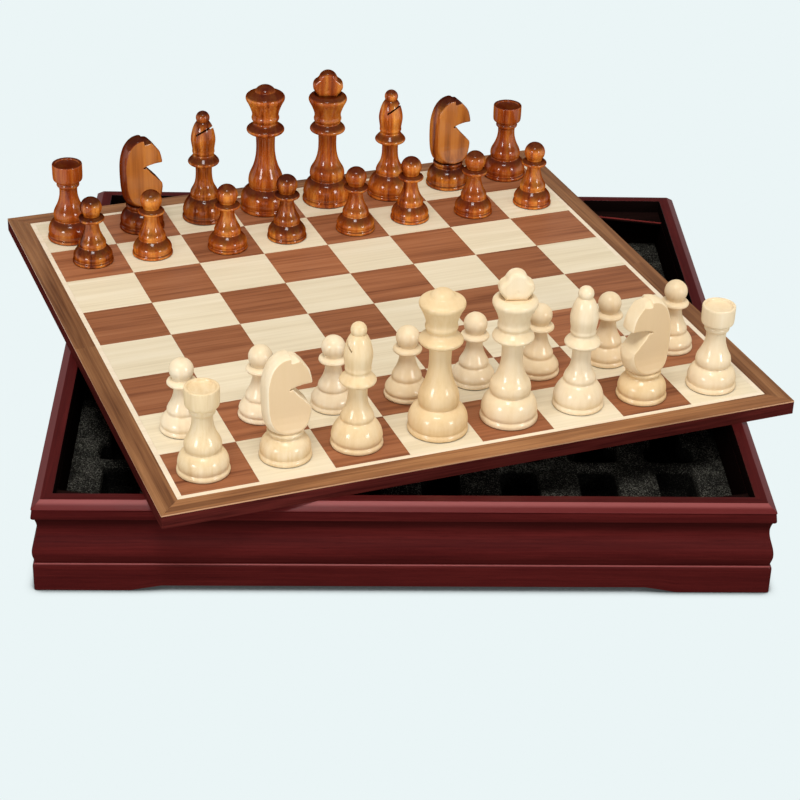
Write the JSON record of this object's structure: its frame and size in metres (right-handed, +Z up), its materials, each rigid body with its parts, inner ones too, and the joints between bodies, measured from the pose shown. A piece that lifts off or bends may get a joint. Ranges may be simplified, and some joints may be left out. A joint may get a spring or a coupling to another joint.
{
  "type": "chess chest with loose board lid and chessmen",
  "caption": "Low moulded wooden chest lined with pocketed foam, its inlaid chess board lying turned on the rim as a loose lid, with turned chessmen set out on it.",
  "frame": {"origin": "on the surface the chest stands on, straight below the middle of the board", "axes": "+X right along the chest's front, +Y to the chest's back, +Z up"},
  "size_m": [0.4214, 0.4214, 0.1372],
  "materials": {
    "chest_wood": "dark cherry red stain under gloss lacquer",
    "plywood": "bare thin plywood",
    "foam": "matt charcoal foam, fine open texture",
    "core_board": "bare core sheet, hidden",
    "walnut": "satin lacquered veneer",
    "maple": "satin lacquered veneer",
    "edging_wood": "dark red stain, satin lacquer",
    "boxwood": "gloss lacquer over pale boxwood",
    "stained_wood": "gloss lacquer over reddish brown wood"
  },
  "bodies": {
    "chest": {"rim_front": "chest_wood", "rim_back": "chest_wood", "rim_left": "chest_wood", "rim_right": "chest_wood", "wall_front": "chest_wood", "wall_back": "chest_wood", "wall_left": "chest_wood", "wall_right": "chest_wood", "plinth_front": "chest_wood", "plinth_back": "chest_wood", "plinth_left": "chest_wood", "plinth_right": "chest_wood", "bottom_panel": "plywood", "lid_rests": "chest_wood", "foam_insert": "foam"},
    "board": {"board_core": "core_board", "board_backing": "walnut", "board_edging": "edging_wood", "veneer_border": "walnut", "veneer_line": "maple", "veneer_light_squares": "maple", "veneer_dark_squares": "walnut"},
    "light_pawn_a": {"light_pawn_a": "boxwood"},
    "light_pawn_b": {"light_pawn_b": "boxwood"},
    "light_pawn_c": {"light_pawn_c": "boxwood"},
    "light_pawn_d": {"light_pawn_d": "boxwood"},
    "light_pawn_e": {"light_pawn_e": "boxwood"},
    "light_pawn_f": {"light_pawn_f": "boxwood"},
    "light_pawn_g": {"light_pawn_g": "boxwood"},
    "light_pawn_h": {"light_pawn_h": "boxwood"},
    "light_rook_a": {"light_rook_a": "boxwood"},
    "light_rook_h": {"light_rook_h": "boxwood"},
    "light_bishop_c": {"light_bishop_c": "boxwood"},
    "light_bishop_f": {"light_bishop_f": "boxwood"},
    "light_queen": {"light_queen": "boxwood"},
    "light_king": {"light_king": "boxwood", "light_king_finial": "boxwood"},
    "light_knight_b": {"light_knight_b_base": "boxwood", "light_knight_b_head": "boxwood"},
    "light_knight_g": {"light_knight_g_base": "boxwood", "light_knight_g_head": "boxwood"},
    "dark_pawn_a": {"dark_pawn_a": "stained_wood"},
    "dark_pawn_b": {"dark_pawn_b": "stained_wood"},
    "dark_pawn_c": {"dark_pawn_c": "stained_wood"},
    "dark_pawn_d": {"dark_pawn_d": "stained_wood"},
    "dark_pawn_e": {"dark_pawn_e": "stained_wood"},
    "dark_pawn_f": {"dark_pawn_f": "stained_wood"},
    "dark_pawn_g": {"dark_pawn_g": "stained_wood"},
    "dark_pawn_h": {"dark_pawn_h": "stained_wood"},
    "dark_rook_a": {"dark_rook_a": "stained_wood"},
    "dark_rook_h": {"dark_rook_h": "stained_wood"},
    "dark_bishop_c": {"dark_bishop_c": "stained_wood"},
    "dark_bishop_f": {"dark_bishop_f": "stained_wood"},
    "dark_queen": {"dark_queen": "stained_wood"},
    "dark_king": {"dark_king": "stained_wood", "dark_king_finial": "stained_wood"},
    "dark_knight_b": {"dark_knight_b_base": "stained_wood", "dark_knight_b_head": "stained_wood"},
    "dark_knight_g": {"dark_knight_g_base": "stained_wood", "dark_knight_g_head": "stained_wood"}
  },
  "joints": [
    {"name": "board_lift", "type": "slide", "parent": "chest", "child": "board", "axis": [0, 0, 1], "range_m": [0, 0.1]},
    {"name": "light_pawn_a_lift", "type": "slide", "parent": "board", "child": "light_pawn_a", "axis": [0, 0, 1], "range_m": [0, 0.09]},
    {"name": "light_pawn_b_lift", "type": "slide", "parent": "board", "child": "light_pawn_b", "axis": [0, 0, 1], "range_m": [0, 0.09]},
    {"name": "light_pawn_c_lift", "type": "slide", "parent": "board", "child": "light_pawn_c", "axis": [0, 0, 1], "range_m": [0, 0.09]},
    {"name": "light_pawn_d_lift", "type": "slide", "parent": "board", "child": "light_pawn_d", "axis": [0, 0, 1], "range_m": [0, 0.09]},
    {"name": "light_pawn_e_lift", "type": "slide", "parent": "board", "child": "light_pawn_e", "axis": [0, 0, 1], "range_m": [0, 0.09]},
    {"name": "light_pawn_f_lift", "type": "slide", "parent": "board", "child": "light_pawn_f", "axis": [0, 0, 1], "range_m": [0, 0.09]},
    {"name": "light_pawn_g_lift", "type": "slide", "parent": "board", "child": "light_pawn_g", "axis": [0, 0, 1], "range_m": [0, 0.09]},
    {"name": "light_pawn_h_lift", "type": "slide", "parent": "board", "child": "light_pawn_h", "axis": [0, 0, 1], "range_m": [0, 0.09]},
    {"name": "light_rook_a_lift", "type": "slide", "parent": "board", "child": "light_rook_a", "axis": [0, 0, 1], "range_m": [0, 0.09]},
    {"name": "light_rook_h_lift", "type": "slide", "parent": "board", "child": "light_rook_h", "axis": [0, 0, 1], "range_m": [0, 0.09]},
    {"name": "light_bishop_c_lift", "type": "slide", "parent": "board", "child": "light_bishop_c", "axis": [0, 0, 1], "range_m": [0, 0.09]},
    {"name": "light_bishop_f_lift", "type": "slide", "parent": "board", "child": "light_bishop_f", "axis": [0, 0, 1], "range_m": [0, 0.09]},
    {"name": "light_queen_lift", "type": "slide", "parent": "board", "child": "light_queen", "axis": [0, 0, 1], "range_m": [0, 0.09]},
    {"name": "light_king_lift", "type": "slide", "parent": "board", "child": "light_king", "axis": [0, 0, 1], "range_m": [0, 0.09]},
    {"name": "light_knight_b_lift", "type": "slide", "parent": "board", "child": "light_knight_b", "axis": [0, 0, 1], "range_m": [0, 0.09]},
    {"name": "light_knight_g_lift", "type": "slide", "parent": "board", "child": "light_knight_g", "axis": [0, 0, 1], "range_m": [0, 0.09]},
    {"name": "dark_pawn_a_lift", "type": "slide", "parent": "board", "child": "dark_pawn_a", "axis": [0, 0, 1], "range_m": [0, 0.09]},
    {"name": "dark_pawn_b_lift", "type": "slide", "parent": "board", "child": "dark_pawn_b", "axis": [0, 0, 1], "range_m": [0, 0.09]},
    {"name": "dark_pawn_c_lift", "type": "slide", "parent": "board", "child": "dark_pawn_c", "axis": [0, 0, 1], "range_m": [0, 0.09]},
    {"name": "dark_pawn_d_lift", "type": "slide", "parent": "board", "child": "dark_pawn_d", "axis": [0, 0, 1], "range_m": [0, 0.09]},
    {"name": "dark_pawn_e_lift", "type": "slide", "parent": "board", "child": "dark_pawn_e", "axis": [0, 0, 1], "range_m": [0, 0.09]},
    {"name": "dark_pawn_f_lift", "type": "slide", "parent": "board", "child": "dark_pawn_f", "axis": [0, 0, 1], "range_m": [0, 0.09]},
    {"name": "dark_pawn_g_lift", "type": "slide", "parent": "board", "child": "dark_pawn_g", "axis": [0, 0, 1], "range_m": [0, 0.09]},
    {"name": "dark_pawn_h_lift", "type": "slide", "parent": "board", "child": "dark_pawn_h", "axis": [0, 0, 1], "range_m": [0, 0.09]},
    {"name": "dark_rook_a_lift", "type": "slide", "parent": "board", "child": "dark_rook_a", "axis": [0, 0, 1], "range_m": [0, 0.09]},
    {"name": "dark_rook_h_lift", "type": "slide", "parent": "board", "child": "dark_rook_h", "axis": [0, 0, 1], "range_m": [0, 0.09]},
    {"name": "dark_bishop_c_lift", "type": "slide", "parent": "board", "child": "dark_bishop_c", "axis": [0, 0, 1], "range_m": [0, 0.09]},
    {"name": "dark_bishop_f_lift", "type": "slide", "parent": "board", "child": "dark_bishop_f", "axis": [0, 0, 1], "range_m": [0, 0.09]},
    {"name": "dark_queen_lift", "type": "slide", "parent": "board", "child": "dark_queen", "axis": [0, 0, 1], "range_m": [0, 0.09]},
    {"name": "dark_king_lift", "type": "slide", "parent": "board", "child": "dark_king", "axis": [0, 0, 1], "range_m": [0, 0.09]},
    {"name": "dark_knight_b_lift", "type": "slide", "parent": "board", "child": "dark_knight_b", "axis": [0, 0, 1], "range_m": [0, 0.09]},
    {"name": "dark_knight_g_lift", "type": "slide", "parent": "board", "child": "dark_knight_g", "axis": [0, 0, 1], "range_m": [0, 0.09]}
  ]
}
